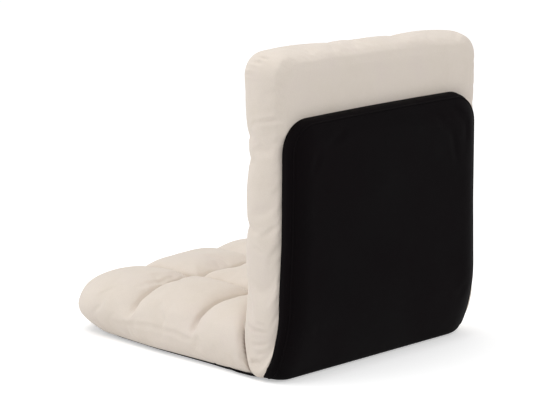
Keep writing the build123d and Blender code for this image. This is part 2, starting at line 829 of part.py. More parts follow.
with BuildPart() as seat_cushion:
    for height, side, front, rear in seat_levels:
        with BuildSketch(Plane.XY.offset(height)):
            pad_outline(
                chair_width / 2 - side,
                front_y + front,
                rear_y - rear,
                seat_front_corner,
                seat_rear_corner,
                pad_draw_in,
            )
    loft(ruled=True)
    for cut in seat_cuts:
        add(cut.part, mode=Mode.SUBTRACT)
    with BuildSketch(Plane.XY):
        base_outline(-foam_groove_gap)
    extrude(amount=seat_floor, mode=Mode.SUBTRACT)
    with BuildSketch(Plane.XY.offset(tray_depth)):
        block_outline(
            foam_half + fit_gap,
            front_y + foam_end_inset - fit_gap,
            seat_foam_rear + fit_gap,
            foam_corner,
            foam_corner / 2,
        )
    extrude(amount=foam_thickness + 2 * fit_gap, mode=Mode.SUBTRACT)
    with BuildSketch(Plane.XY.offset(tray_depth)):
        with Locations(*seat_tufts):
            Circle(tuft_hole)
    extrude(amount=seat_height, mode=Mode.SUBTRACT)
    add(seat_hinge_rooms.part, mode=Mode.SUBTRACT)
save(seat_cushion, "seat_cushion")
save(ties(seat_tuft_bottoms, up, seat_height - tuft_depth - tray_depth - fit_gap), "seat_tuft_ties")

back_crease_y = rear_y - back_depth + crease_depth
back_cuts = [
    crease((x, back_crease_y, hinge_z), (x, back_crease_y, back_height), ahead)
    for x in tuft_columns
]
back_cuts += [
    crease((half_width, back_crease_y, row), (-half_width, back_crease_y, row), ahead)
    for row in back_tuft_rows
]
back_tuft_bottoms = [(x, rear_y - back_depth + tuft_depth, z) for x, z in back_tufts]
back_cuts += [tuft_pit(bottom, ahead) for bottom in back_tuft_bottoms]

with BuildPart() as back_cushion:
    for forward, side, top, bottom in back_levels:
        with BuildSketch(Plane.XZ.offset(forward - rear_y)):
            pad_outline(
                chair_width / 2 - side,
                bottom,
                back_height - top,
                back_bottom_corner,
                back_top_corner,
                pad_draw_in,
            )
    loft(ruled=True)
    for cut in back_cuts:
        add(cut.part, mode=Mode.SUBTRACT)
    with BuildSketch(Plane.XY):
        base_outline(-foam_groove_gap)
    extrude(amount=seat_floor, mode=Mode.SUBTRACT)
    with BuildSketch(Plane.XZ.offset(-rear_y)):
        block_outline(
            foam_half + fit_gap,
            foam_crease_setback - fit_gap,
            back_foam_top + fit_gap,
            foam_corner / 2,
            foam_corner,
        )
    extrude(amount=foam_thickness + 2 * fit_gap, mode=Mode.SUBTRACT)
    with BuildSketch(Plane.XZ.offset(-rear_y)):
        with Locations(*back_tufts):
            Circle(tuft_hole)
    extrude(amount=back_depth, mode=Mode.SUBTRACT)
    add(back_hinge_rooms.part, mode=Mode.SUBTRACT)
save(back_cushion, "back_cushion")
save(ties(back_tuft_bottoms, ahead, back_depth - tuft_depth - 2 * fit_gap), "back_tuft_ties")

# strip of cloth down in the crease between the two pads, between the hinges
gusset_half = tube_x - hinge_room - foam_groove_gap
with BuildPart() as crease_gusset:
    with BuildSketch(Plane.YZ.offset(-gusset_half)):
        with BuildLine():
            ThreePointArc(*[(rear_y - setback, height) for setback, height in crease_line])
        trace(line_width=gusset_thickness)
    extrude(amount=2 * gusset_half)
save(crease_gusset, "crease_gusset")
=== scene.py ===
import math

import bpy
import numpy as np
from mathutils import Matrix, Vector


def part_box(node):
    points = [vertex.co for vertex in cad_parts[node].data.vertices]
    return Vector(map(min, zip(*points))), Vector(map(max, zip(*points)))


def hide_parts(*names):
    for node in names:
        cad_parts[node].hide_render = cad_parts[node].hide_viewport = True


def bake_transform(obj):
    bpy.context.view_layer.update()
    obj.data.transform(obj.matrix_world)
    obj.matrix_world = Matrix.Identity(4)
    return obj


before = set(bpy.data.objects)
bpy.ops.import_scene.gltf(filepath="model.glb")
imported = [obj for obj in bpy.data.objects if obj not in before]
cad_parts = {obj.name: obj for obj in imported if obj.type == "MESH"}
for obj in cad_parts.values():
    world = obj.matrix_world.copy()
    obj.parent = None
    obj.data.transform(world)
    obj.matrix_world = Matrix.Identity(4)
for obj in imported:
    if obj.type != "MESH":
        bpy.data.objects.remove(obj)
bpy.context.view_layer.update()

scene = bpy.context.scene

# places read from the frame, in metres
seatLow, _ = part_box("seat_cushion")
_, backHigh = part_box("back_cushion")
_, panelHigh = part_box("back_panel_cover")
baseLow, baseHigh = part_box("seat_base_cover")
halfWidth = backHigh.x
backRear = backHigh.y  # rear face of the back pad
backTop = backHigh.z
faceY = panelHigh.y  # outer face of the black panel
trayTop = baseHigh.z  # top of the black base
clear = 0.0006  # room between a pad and what it lies on
tiny = 1e-9  # keeps a division by a length from failing
onFace = 0.999  # lattice places beyond this lie on a face of the box

# lengths for a turn of the cloth with the back, along a slanting line through the hinge
padBend = 0.15  # half the length over which the pads and their lining turn
skinBend = 0.12  # the same for the black skin and its piping


# helpers for shapes
def boxSkin(cells):
    # the outside of a box of cells: lattice points from -1 to 1 on each axis, shared along its edges
    corners = []
    for axis in range(3):
        u, v = (axis + 1) % 3, (axis + 2) % 3
        i, j = np.meshgrid(np.arange(cells[u]), np.arange(cells[v]), indexing="ij")
        for side in (0, 1):
            steps = [(0, 0), (1, 0), (1, 1), (0, 1)]
            if side == 0:
                steps = steps[::-1]
            quad = np.zeros((i.size, 4, 3), int)
            for k, (du, dv) in enumerate(steps):
                quad[:, k, u] = (i + du).ravel()
                quad[:, k, v] = (j + dv).ravel()
                quad[:, k, axis] = side * cells[axis]
            corners.append(quad)
    flat = np.concatenate(corners).reshape(-1, 3)
    keys = (flat[:, 0] * (cells[1] + 1) + flat[:, 1]) * (cells[2] + 1) + flat[:, 2]
    _, first, inverse = np.unique(keys, return_index=True, return_inverse=True)
    return 2 * flat[first] / np.array(cells) - 1, inverse.reshape(-1, 4)


def gridQuads(rows, columns):
    # quads of a grid of points numbered row by row: each cell's first corner and its three neighbours
    i, j = np.meshgrid(np.arange(rows - 1), np.arange(columns - 1), indexing="ij")
    corner = (i * columns + j).ravel()
    return np.column_stack([corner, corner + columns, corner + columns + 1, corner + 1])


def through(knots, values, at):
    # smooth curve through values at knots: cubic pieces that share the mean slope where they meet
    slope = np.gradient(values, knots)
    i = np.clip(np.searchsorted(knots, at, side="right") - 1, 0, len(knots) - 2)
    gap = knots[i + 1] - knots[i]
    t = np.clip((at - knots[i]) / gap, 0, 1)
    start = (1 + 2 * t) * (1 - t) ** 2 * values[i] + t * (1 - t) ** 2 * gap * slope[i]
    end = t * t * (3 - 2 * t) * values[i + 1] - t * t * (1 - t) * gap * slope[i + 1]
    return start + end


def bezier(a, b, c, d, count):
    # curve from a to d, pulled towards b and c: the cubic Bernstein sum of the four points
    t = np.linspace(0, 1, count)[:, None]
    a, b, c, d = (np.array(p) for p in (a, b, c, d))
    return a * (1 - t) ** 3 + 3 * b * t * (1 - t) ** 2 + 3 * c * t * t * (1 - t) + d * t ** 3


def smooth(t):
    # 0 below 0, 1 above 1, and 3t^2 - 2t^3 between
    t = np.clip(t, 0, 1)
    return t * t * (3 - 2 * t)


def fade(value, span):
    # span is (start, reach): 0 up to start, 1 from start + reach on; a negative reach runs downwards
    return smooth((value - span[0]) / span[1])


def bell(gap, width, power=2):
    # 1 at no gap, less further off: exp(-(gap/width)^power)
    return np.exp(-(gap / width) ** power)


def normalsOf(points, quads):
    # each point's normal: the sum of its quads' diagonal cross products, at unit length
    a, b, c, d = (points[quads[:, k]] for k in range(4))
    across = np.cross(c - a, d - b)
    total = np.zeros_like(points)
    for k in range(4):
        np.add.at(total, quads[:, k], across)
    return total / np.maximum(np.linalg.norm(total, axis=1, keepdims=True), 1e-12)


def nearLine(points, line):
    # distance from each point to a chain of straight runs, and how far along the chain that is, 0 to 1
    line = np.array(line, float)
    best, where = np.full(len(points), 1e9), np.zeros(len(points))
    for k, (p, q) in enumerate(zip(line[:-1], line[1:])):
        run = q - p
        t = np.clip((points - p) @ run / (run @ run), 0, 1)
        gap = np.linalg.norm(points - p - t[:, None] * run, axis=1)
        nearer = gap < best
        best[nearer] = gap[nearer]
        where[nearer] = ((k + t) / (len(line) - 1))[nearer]
    return best, where


swelling = {"waves": 6, "shortest": 0.6, "longest": 1.5}


def waves(points, scale, seed):
    # slow uneven swelling, about -1 to 1: sine waves in fixed random directions, added and halved down
    rng = np.random.default_rng(seed)
    total = np.zeros(len(points))
    for _ in range(swelling["waves"]):
        heading = rng.normal(size=3)
        heading /= np.linalg.norm(heading)
        pitch = scale * rng.uniform(swelling["shortest"], swelling["longest"])
        total += np.sin(points @ heading * 2 * math.pi / pitch + rng.uniform(0, 2 * math.pi))
    return total / (swelling["waves"] / 2)


farSide = {"from": 0.15, "reach": 0.35, "most": 1.15}


def slump(points, piece):
    # the top hangs lower towards the far side: slump times the square of the share of the way across
    across = np.clip((farSide["from"] - points[:, 0]) / farSide["reach"], 0, farSide["most"])
    return piece["slump"] * across ** 2 * fade(points[:, 2], piece["slumpFade"])


# helpers for meshes
def makePiece(name, points, faces, material):
    # an object at the origin, shaded smooth, with the points as they are
    mesh = bpy.data.meshes.new(name)
    mesh.from_pydata(points.tolist(), [], faces.tolist())
    mesh.update()
    mesh.polygons.foreach_set("use_smooth", np.ones(len(mesh.polygons), bool))
    mesh.materials.append(material)
    piece = bpy.data.objects.new(name, mesh)
    scene.collection.objects.link(piece)
    return piece


def readPoints(mesh):
    # the mesh's points, one row each
    flat = np.zeros(len(mesh.vertices) * 3)
    mesh.vertices.foreach_get("co", flat)
    return flat.reshape(-1, 3)


def readQuads(mesh):
    # the mesh's faces, four point numbers each
    flat = np.zeros(len(mesh.loops), int)
    mesh.loops.foreach_get("vertex_index", flat)
    return flat.reshape(-1, 4)


def writePoints(mesh, points):
    # puts the points back into the mesh
    mesh.vertices.foreach_set("co", points.ravel())
    mesh.update()


def shapedMesh(piece):
    # a new mesh of the piece as its modifiers leave it
    return bpy.data.meshes.new_from_object(piece.evaluated_get(bpy.context.evaluated_depsgraph_get()))


def subdivide(piece):
    # one level of subdivision, made part of the mesh
    mod = piece.modifiers.new("finer", "SUBSURF")
    mod.levels = mod.render_levels = 1
    finer = shapedMesh(piece)
    piece.modifiers.clear()
    piece.data = finer


def thicken(piece, thickness, offset):
    # a sheet's wall: offset -1 lays it behind the faces, 0 half to each side
    wall = piece.modifiers.new("wall", "SOLIDIFY")
    wall.thickness = thickness
    wall.offset = offset


# helpers for materials
def newMaterial(name):
    # a material with its nodes, links and shader
    mat = bpy.data.materials.new(name)
    mat.use_nodes = True
    nodes, links = mat.node_tree.nodes, mat.node_tree.links
    return mat, nodes, links, nodes["Principled BSDF"]


def objectSpot(nodes):
    return nodes.new("ShaderNodeTexCoord").outputs["Object"]


def noise(nodes, links, spot, scale, detail=3.0, roughness=0.55):
    tex = nodes.new("ShaderNodeTexNoise")
    tex.inputs["Scale"].default_value = scale
    tex.inputs["Detail"].default_value = detail
    tex.inputs["Roughness"].default_value = roughness
    links.new(spot, tex.inputs["Vector"])
    return tex.outputs["Fac"]


def ramp(nodes, links, value, stops):
    # stops: (place, colour)
    node = nodes.new("ShaderNodeValToRGB")
    points = node.color_ramp.elements
    while len(points) < len(stops):
        points.new(0.5)
    for point, (place, colour) in zip(points, stops):
        point.position = place
        point.color = (*colour, 1)
    links.new(value, node.inputs["Fac"])
    return node.outputs["Color"]


def mapRange(nodes, links, value, low, high, toLow, toHigh):
    node = nodes.new("ShaderNodeMapRange")
    for socket, number in zip(("From Min", "From Max", "To Min", "To Max"), (low, high, toLow, toHigh)):
        node.inputs[socket].default_value = number
    links.new(value, node.inputs["Value"])
    return node.outputs["Result"]


def maths(nodes, links, kind, *values):
    node = nodes.new("ShaderNodeMath")
    node.operation = kind
    for value, socket in zip(values, node.inputs):
        links.new(value, socket)
    return node.outputs[0]


def blendColours(nodes, links, share, a, b, kind="MIX"):
    # share and b are a number and a colour, or other nodes' outputs
    node = nodes.new("ShaderNodeMix")
    node.data_type = "RGBA"
    node.blend_type = kind
    if isinstance(share, float):
        node.inputs[0].default_value = share
    else:
        links.new(share, node.inputs[0])
    links.new(a, node.inputs[6])
    if isinstance(b, tuple):
        node.inputs[7].default_value = (*b, 1)
    else:
        links.new(b, node.inputs[7])
    return node.outputs[2]


def threads(nodes, links, spot, pitch):
    # plain weave, about -1 to 1: sin(a) sin(b) over the two directions that lie in the cloth, so each of
    # the three products counts by the square of the normal across it
    grown = nodes.new("ShaderNodeVectorMath")
    grown.operation = "SCALE"
    grown.inputs["Scale"].default_value = 2 * math.pi / pitch
    links.new(spot, grown.inputs[0])
    parts = nodes.new("ShaderNodeSeparateXYZ")
    links.new(grown.outputs[0], parts.inputs[0])
    facing = nodes.new("ShaderNodeSeparateXYZ")
    links.new(nodes.new("ShaderNodeTexCoord").outputs["Normal"], facing.inputs[0])
    wave = [maths(nodes, links, "SINE", parts.outputs[k]) for k in range(3)]
    total = None
    for k in range(3):
        weft = maths(nodes, links, "MULTIPLY", wave[(k + 1) % 3], wave[(k + 2) % 3])
        share = maths(nodes, links, "MULTIPLY", facing.outputs[k], facing.outputs[k])
        part = maths(nodes, links, "MULTIPLY", weft, share)
        total = part if total is None else maths(nodes, links, "ADD", total, part)
    return total


def bump(nodes, links, shader, heights):
    # heights: (height, (strength, distance in metres)), from coarse to fine
    under = None
    for height, (strength, distance) in heights:
        node = nodes.new("ShaderNodeBump")
        node.inputs["Strength"].default_value = strength
        node.inputs["Distance"].default_value = distance
        links.new(height, node.inputs["Height"])
        if under is not None:
            links.new(under, node.inputs["Normal"])
        under = node.outputs["Normal"]
    links.new(under, shader.inputs["Normal"])


cream = {
    "light": (0.775, 0.695, 0.615),
    "dark": (0.752, 0.671, 0.587),
    "pink": (0.765, 0.68, 0.612),
    # painted shade: the dark colour that the seams and the crease between the pads are blended towards
    "seam": (0.26, 0.185, 0.145),
    "napDark": 0.93,
    "roughness": (0.86, 0.94),
    "sheen": 0.18,
    "sheenRoughness": 0.45,
    "specular": 0.25,
    "patchScale": 14,
    "napScale": 900,
    "rumpleScale": 45,
    "threadPitch": 0.0011,
    # strength and distance of each relief
    "rumple": (0.35, 0.0016),
    "weave": (0.12, 0.00015),
    "nap": (0.18, 0.0002),
}


def creamCloth():
    # brushed microfibre: nap that lies in soft patches, a fine weave under it, and painted shade down in the
    # seams and where the pads meet
    mat, nodes, links, shader = newMaterial("creamMicrofibre")
    spot = objectSpot(nodes)
    patches = noise(nodes, links, spot, cream["patchScale"], 4, 0.6)
    nap = noise(nodes, links, spot, cream["napScale"], 2, 0.5)
    colour = ramp(nodes, links, patches, [(0.32, cream["dark"]), (0.5, cream["light"]), (0.7, cream["pink"])])
    grain = ramp(nodes, links, nap, [(0.3, (cream["napDark"],) * 3), (0.7, (1, 1, 1))])
    colour = blendColours(nodes, links, 1.0, colour, grain, "MULTIPLY")
    # painted shade, read from the seamShade attribute, darkening the seams and the crease
    paintedSeamShade = nodes.new("ShaderNodeAttribute")
    paintedSeamShade.attribute_name = "seamShade"
    colour = blendColours(nodes, links, paintedSeamShade.outputs["Fac"], colour, cream["seam"])
    links.new(colour, shader.inputs["Base Color"])
    links.new(mapRange(nodes, links, patches, 0.3, 0.7, *cream["roughness"]), shader.inputs["Roughness"])
    shader.inputs["Sheen Weight"].default_value = cream["sheen"]
    shader.inputs["Sheen Roughness"].default_value = cream["sheenRoughness"]
    shader.inputs["Specular IOR Level"].default_value = cream["specular"]
    weave = threads(nodes, links, spot, cream["threadPitch"])
    rumple = noise(nodes, links, spot, cream["rumpleScale"], 5, 0.62)
    bump(nodes, links, shader, [(rumple, cream["rumple"]), (weave, cream["weave"]), (nap, cream["nap"])])
    return mat


black = {
    "cloth": (0.0022, 0.0014, 0.0018),
    "thread": (0.006, 0.0046, 0.0054),
    "dustLow": (0.8, 0.8, 0.8),
    "dustHigh": (1.25, 1.2, 1.2),
    "roughness": (0.62, 0.76),
    "pipingShine": 0.06,  # how much smoother the piping is
    "specular": 0.035,
    "patchScale": 9,
    "rumpleScale": 22,
    "threadPitch": 0.0014,
    "rumple": (0.3, 0.002),
    "weave": (0.25, 0.0002),
}


def blackCloth(name="blackCloth", shine=0.0):
    # smooth black cover cloth: tight weave, thread tops a little greyer, soft wrinkles
    mat, nodes, links, shader = newMaterial(name)
    spot = objectSpot(nodes)
    weave = threads(nodes, links, spot, black["threadPitch"])
    patches = noise(nodes, links, spot, black["patchScale"], 4, 0.6)
    tops = ramp(nodes, links, mapRange(nodes, links, weave, -1, 1, 0, 1),
                [(0.5, black["cloth"]), (1.0, black["thread"])])
    dust = ramp(nodes, links, patches, [(0.35, black["dustLow"]), (0.68, black["dustHigh"])])
    links.new(blendColours(nodes, links, 1.0, tops, dust, "MULTIPLY"), shader.inputs["Base Color"])
    low, high = (rough - shine for rough in black["roughness"])
    links.new(mapRange(nodes, links, patches, 0.3, 0.7, low, high), shader.inputs["Roughness"])
    shader.inputs["Specular IOR Level"].default_value = black["specular"]
    rumple = noise(nodes, links, spot, black["rumpleScale"], 4, 0.6)
    bump(nodes, links, shader, [(rumple, black["rumple"]), (weave, black["weave"])])
    return mat


# finish of the inner parts: dark and light colour, roughness from and to, metal, size of mottling, relief
innerParts = {
    "painted_tube": ((0.028, 0.028, 0.031), (0.048, 0.048, 0.052), 0.38, 0.54, 0.0, 60, 0.15),
    "hinge_steel": ((0.042, 0.042, 0.045), (0.075, 0.075, 0.08), 0.34, 0.5, 0.0, 90, 0.12),
    "zinc_steel": ((0.5, 0.51, 0.51), (0.68, 0.69, 0.68), 0.26, 0.4, 1.0, 140, 0.1),
    "spring_steel": ((0.24, 0.24, 0.27), (0.36, 0.36, 0.4), 0.28, 0.4, 1.0, 160, 0.08),
    "washer_plastic": ((0.74, 0.74, 0.71), (0.84, 0.84, 0.81), 0.42, 0.52, 0.0, 70, 0.1),
    "foam": ((0.72, 0.67, 0.48), (0.82, 0.78, 0.6), 0.9, 0.98, 0.0, 420, 0.6),
    "support_cloth": ((0.44, 0.44, 0.42), (0.56, 0.56, 0.54), 0.8, 0.92, 0.0, 200, 0.3),
    "thread": ((0.68, 0.62, 0.54), (0.8, 0.75, 0.67), 0.7, 0.85, 0.0, 500, 0.4),
}
supportWeave = {"threadPitch": 0.0024, "weave": (0.5, 0.0004)}
innerRelief = 0.0003  # how deep the fine relief of the inner parts is


def innerFinish(name):
    # two shades in soft patches, roughness that varies with them, and fine relief; woven where it is cloth
    dark, light, roughLow, roughHigh, metal, scale, relief = innerParts[name]
    mat, nodes, links, shader = newMaterial(name + "Finish")
    spot = objectSpot(nodes)
    patches = noise(nodes, links, spot, scale * 0.25, 4, 0.6)
    fine = noise(nodes, links, spot, scale * 4, 3, 0.6)
    links.new(ramp(nodes, links, patches, [(0.32, dark), (0.68, light)]), shader.inputs["Base Color"])
    links.new(mapRange(nodes, links, fine, 0.3, 0.7, roughLow, roughHigh), shader.inputs["Roughness"])
    shader.inputs["Metallic"].default_value = metal
    heights = [(fine, (relief, innerRelief))]
    if name == "support_cloth":
        weave = threads(nodes, links, spot, supportWeave["threadPitch"])
        heights.append((weave, supportWeave["weave"]))
    bump(nodes, links, shader, heights)
    return mat


def dressInnerParts():
    # every CAD node keeps its slots, and each slot that has a finish here gets it
    finishes = {name: innerFinish(name) for name in innerParts}
    dressed = 0
    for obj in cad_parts.values():
        for holder in obj.material_slots:
            name = holder.material.name.split(".")[0]
            if name in finishes:
                holder.material = finishes[name]
                dressed += 1
    print("inner parts dressed:", dressed, "of", len(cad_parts))


# what both pads share in their sewing
sewing = {
    "wander": 0.0022,  # how far a sewn line strays to each side
    "columnTurns": 37,
    "rowTurns": 41,
    "tuftPower": 1.2,
    "lineHold": 0.75,
    "lineWidth": 0.006,
    "tieWidth": 0.01,
    "grooveWidth": 0.0042,
    "shadeWidth": 0.003,
    "crownReach": 0.25,
    "cornerMost": 0.6,  # a round corner takes at most this share of the shorter half side
}


def ringedPad(pad, levels, low, high, lowCorner, highCorner):
    # closed pad on a box lattice: going up the side and in over the top, each ring follows one level, a
    # rectangle with round corners and sides drawn in between them, and the rings shrink to the middle;
    # levels hold height, side inset and inset from high, and low is where each level starts
    lattice, quads = boxSkin(pad["cells"])
    a, b, c = lattice.T
    ring = np.maximum(np.abs(a), np.abs(b))
    middle = (low[-1] + high - levels[-1, 2]) / 2
    up = np.append(levels[:, 0], levels[-1, 0])
    side = np.append(levels[:, 1], halfWidth)
    lows = np.append(low, middle)
    highs = np.append(high - levels[:, 2], middle)
    knots = np.append(0, np.cumsum(np.hypot(np.diff(up), np.diff(side))))
    onTop = (c > onFace).astype(float)
    onBottom = (c < -onFace).astype(float)
    at = pad["sideReach"] * (c + 1) / 2 + onTop * (1 - ring) * (knots[-1] - pad["sideReach"])
    bottom, top = through(knots, lows, at), through(knots, highs, at)
    size = np.maximum((top - bottom) / 2, 1e-6)
    width = np.maximum(halfWidth - through(knots, side, at), 1e-6)
    safe = np.maximum(ring, tiny)
    p, q = width * a / safe, size * b / safe
    corner = np.where(b < 0, lowCorner, highCorner)
    corner = np.minimum(corner, sewing["cornerMost"] * np.minimum(width, size))
    innerP = np.clip(p, corner - width, width - corner)
    innerQ = np.clip(q, corner - size, size - corner)
    outP, outQ = p - innerP, q - innerQ
    reach = np.maximum(np.hypot(outP, outQ), tiny)
    p, q = innerP + outP / reach * corner, innerQ + outQ / reach * corner
    s, t = p / width, q / size
    p = p - pad["drawIn"] * s ** 3 * (1 - t ** 2)
    q = q - pad["drawIn"] * t ** 3 * (1 - s ** 2)
    shrink = 1 - onBottom * (1 - ring)
    along = (top + bottom) / 2 + q * shrink
    return p * shrink, along, through(knots, up, at), at, ring, onTop, onBottom, quads


def wanderGap(lines, near, along, turns, step):
    # distance to the nearest of the lines, each straying by wander * sin(along * turns + its own start)
    return np.min([np.abs(near - line - sewing["wander"] * np.sin(along * turns + step * k))
                   for k, line in enumerate(lines)], axis=0)


def sewnGap(pad, s, t):
    # distance to the nearest sewn line, for the columns and for the rows
    return (wanderGap(pad["columns"], s, t, sewing["columnTurns"], 1),
            wanderGap(pad["rows"], t, s, sewing["rowTurns"], 2))


def onLines(gaps, fades, width, power=2):
    # 1 on a sewn line, less beside it: the larger of fade * bell for the columns and for the rows
    return np.maximum(fades[0] * bell(gaps[0], width, power), fades[1] * bell(gaps[1], width, power))


def tieGaps(pad, s, t):
    # distance to each place where the pad is tied through, at the crossings of its lines
    return [np.hypot(s - column, t - row) for column in pad["columns"] for row in pad["rows"]]


def quiltDepth(pad, s, t, share, fades=(1.0, 1.0)):
    # how far each point is drawn in: exp(-gap/width) from the sewn lines, and more from the tied places
    deep = pad["creaseDepth"] * onLines(sewnGap(pad, s, t), fades, pad["creaseWidth"], 1)
    for gap in tieGaps(pad, s, t):
        deep += pad["tuftDepth"] * bell(gap, pad["tuftWidth"], sewing["tuftPower"])
    return deep * share


def tuftHold(pad, s, t, share, fades):
    # how firmly cloth is held: fully at the tied places, partly along the sewn lines
    hold = sewing["lineHold"] * onLines(sewnGap(pad, s, t), fades, sewing["lineWidth"])
    for gap in tieGaps(pad, s, t):
        hold = np.maximum(hold, bell(gap, sewing["tieWidth"], 4))
    return hold * share


cloth = {
    "pressure": 4.0,
    "looser": -0.022,  # share by which the cloth is cut larger than the pad
    "frames": 20,
    "cap": 0.013,  # no point moves further than this
    "quality": 6,
    "mass": 0.25,
    "stretch": 18,
    "shear": 8,
    "bend": 0.6,
    "airDamping": 4,
}


def inflate(piece, hold):
    # cloth filled with air, held where hold is 1; a point's move d becomes cap * tanh(d/cap)
    before = readPoints(piece.data)
    group = piece.vertex_groups.new(name="held")
    steps = np.round(hold, 1)
    for level in np.unique(steps):
        if level > 0:
            group.add(np.flatnonzero(steps == level).tolist(), float(level), "REPLACE")
    sim = piece.modifiers.new("filling", "CLOTH")
    sim.settings.quality = cloth["quality"]
    sim.settings.mass = cloth["mass"]
    sim.settings.tension_stiffness = cloth["stretch"]
    sim.settings.compression_stiffness = cloth["stretch"]
    sim.settings.shear_stiffness = cloth["shear"]
    sim.settings.bending_stiffness = cloth["bend"]
    sim.settings.air_damping = cloth["airDamping"]
    sim.settings.use_pressure = True
    sim.settings.uniform_pressure_force = cloth["pressure"]
    sim.settings.vertex_group_mass = "held"
    sim.settings.shrink_min = cloth["looser"]
    sim.settings.effector_weights.gravity = 0
    sim.point_cache.frame_start = 1
    sim.point_cache.frame_end = cloth["frames"]
    for step in range(1, cloth["frames"] + 1):
        scene.frame_set(step)
    moved = shapedMesh(piece)
    after = readPoints(moved)
    piece.modifiers.clear()
    piece.vertex_groups.clear()
    scene.frame_set(1)
    shift = after - before
    length = np.linalg.norm(shift, axis=1, keepdims=True)
    capped = cloth["cap"] * np.tanh(length / cloth["cap"])
    writePoints(piece.data, before + shift / np.maximum(length, tiny) * capped)
    bpy.data.meshes.remove(moved)


fold = {"endReach": 0.25, "endDepth": 0.15, "roll": 0.35, "rollAt": 2.1}


def pressLines(points, quads, lines):
    # folds: each line draws the cloth in, and pushes up a soft roll beside itself; both fade at its ends
    normals = normalsOf(points, quads)
    shift = np.zeros(len(points))
    for depth, width, line in lines:
        gap, where = nearLine(points, line)
        ends = smooth(where / fold["endReach"]) * smooth((1 - where) / fold["endReach"])
        ends = ends * (1 - fold["endDepth"]) + fold["endDepth"]
        shift -= depth * ends * bell(gap, width)
        shift += fold["roll"] * depth * ends * bell(gap - fold["rollAt"] * width, width)
    return points + normals * shift[:, None]


baseRoom = {"side": 0.0015, "rear": 0.17, "front": 0.003, "floor": 0.0012}


def aboveBase(points):
    # cloth over the black base lies on its top and doesn't go into it, and none reaches the floor
    wide = np.interp(points[:, 1], cover["footY"], cover["footWidth"]) + baseRoom["side"]
    along = (points[:, 1] < baseRoom["rear"]) & (points[:, 1] > baseLow.y + baseRoom["front"])
    over = (np.abs(points[:, 0]) < wide) & along
    points[over, 2] = np.maximum(points[over, 2], trayTop + clear)
    points[:, 2] = np.maximum(points[:, 2], baseRoom["floor"])
    return points


def quilted(pad, points, normals, deep, crown, waved):
    # drawn in by deep and swollen by the crown, with slow waves where waved is above 0
    swell = pad["swell"] * smooth(crown / sewing["crownReach"])
    points = points + normals * (swell - deep)[:, None]
    height, length, seed = pad["waves"]
    return points + normals * (height * waves(points, length, seed) * waved)[:, None]


def finishPad(piece, pad, hold, sewnPlane):
    # the pad is filled, refined, folded and grooved; sewnPlane gives the two coordinates that the sewn
    # lines run in, and the fades over the columns and the rows
    inflate(piece, hold)
    subdivide(piece)
    points, quads = readPoints(piece.data), readQuads(piece.data)
    points = pressLines(points, quads, pad["folds"])
    s, t, fades = sewnPlane(points)
    gaps = sewnGap(pad, s, t)
    groove = pad["stitchDepth"] * onLines(gaps, fades, sewing["grooveWidth"])
    points -= normalsOf(points, quads) * groove[:, None]
    writePoints(piece.data, aboveBase(points))
    shade = pad["seamShade"] * onLines(gaps, fades, sewing["shadeWidth"])
    # painted seam shade, which the cream cloth reads: 0 on open cloth, up to 1 down in a seam
    attribute = piece.data.attributes.new("seamShade", "FLOAT", "POINT")
    attribute.data.foreach_set("value", shade.astype(np.float32))


seatPad = {
    "cells": (88, 84, 17),
    # height, side inset, front inset, and distance in front of the back's rear face
    "levels": [
        (0.0035, 0.012, 0.0215, 0.064),
        (0.014, 0.005, 0.009, 0.07),
        (0.038, 0, 0, 0.082),
        (0.062, 0.002, 0.003, 0.092),
        (0.082, 0.011, 0.012, 0.101),
        (0.096, 0.034, 0.034, 0.12),
        (0.1035, 0.092, 0.096, 0.166),
    ],
    "frontCorner": 0.092,
    "rearCorner": 0.012,
    "taper": 0.075,  # how much narrower the underside gets towards the front
    "taperAlong": (-0.03, -0.22),
    "taperBelow": (0.05, -0.045),
    "drawIn": 0.005,  # how far the sides pull in between the corners
    "sideReach": 0.1,  # how much of the profile the side takes, and not the top
    "columns": (-0.088, 0.088),
    "rows": (-0.1075, 0.0475),
    "creaseDepth": 0.017,
    "creaseWidth": 0.019,
    "tuftDepth": 0.012,
    "tuftWidth": 0.016,
    "upper": (0.046, 0.03),  # where along the profile the quilting starts
    "rearShallow": 0.6,
    "rearFade": (0.1, 0.05),
    "frontLoose": 0.8,
    "frontFade": (-0.235, -0.04),
    "heldRim": (0.016, -0.01),
    "swell": 0.0055,
    "waves": (0.0012, 0.11, 4),  # height, length and seed of the slow swelling
    "stitchDepth": 0.0045,
    "seamShade": 0.21,
    "stitchAbove": (0.052, 0.022),
    "stitchSide": (0.256, -0.03),
    "stitchFront": (-0.275, 0.03),
    # folds in the cloth: depth, half width, and the line through them; the sitter's left side first
    "folds": [
        (0.002, 0.004, [(0.256, -0.15, 0.034), (0.258, -0.06, 0.047), (0.258, 0.01, 0.046),
                          (0.256, 0.041, 0.042), (0.252, 0.068, 0.047)]),
        (0.0018, 0.004, [(0.215, -0.13, 0.094), (0.17, -0.118, 0.1), (0.13, -0.122, 0.1)]),
        (0.0022, 0.0035, [(0.112, -0.118, 0.09), (0.15, -0.128, 0.099)]),
        (0.002, 0.0035, [(0.075, -0.094, 0.09), (0.046, -0.08, 0.099)]),
        (0.002, 0.0035, [(-0.075, 0.06, 0.09), (-0.052, 0.078, 0.099)]),
        (0.002, 0.0035, [(-0.1, -0.12, 0.09), (-0.128, -0.138, 0.099)]),
        (0.0028, 0.0045, [(-0.256, -0.13, 0.036), (-0.258, -0.04, 0.046), (-0.256, 0.06, 0.043)]),
        # and the ends of the rows, alike on both sides
        *[(0.003, 0.005, [(side * 0.25, -0.1075, 0.056), (side * 0.238, -0.1075, 0.082),
                            (side * 0.205, -0.1075, 0.092)]) for side in (1, -1)],
        *[(0.003, 0.005, [(side * 0.252, 0.0475, 0.052), (side * 0.24, 0.0475, 0.08),
                            (side * 0.205, 0.0475, 0.092)]) for side in (1, -1)],
    ],
}


